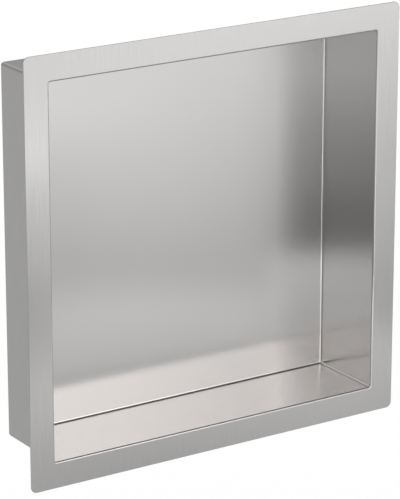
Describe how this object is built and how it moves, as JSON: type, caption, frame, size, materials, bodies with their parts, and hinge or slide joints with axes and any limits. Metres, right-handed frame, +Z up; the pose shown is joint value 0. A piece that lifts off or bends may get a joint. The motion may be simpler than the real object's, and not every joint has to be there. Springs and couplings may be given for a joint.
{
  "type": "shower niche insert",
  "caption": "Square stainless steel shower niche: a shallow open box let into a wall recess, with a flat rounded-corner flange that laps over the tiles.",
  "frame": {"origin": "middle of the wall recess, on the wall's surface, in the plane of the flange's back", "axes": "+X to the right seen from the front, +Y into the wall, +Z up"},
  "size_m": [0.34, 0.0712, 0.34],
  "materials": {
    "brushed_stainless": "brushed stainless steel sheet with a fine vertical grain"
  },
  "bodies": {
    "root": {"niche_body": "brushed_stainless"}
  },
  "joints": []
}
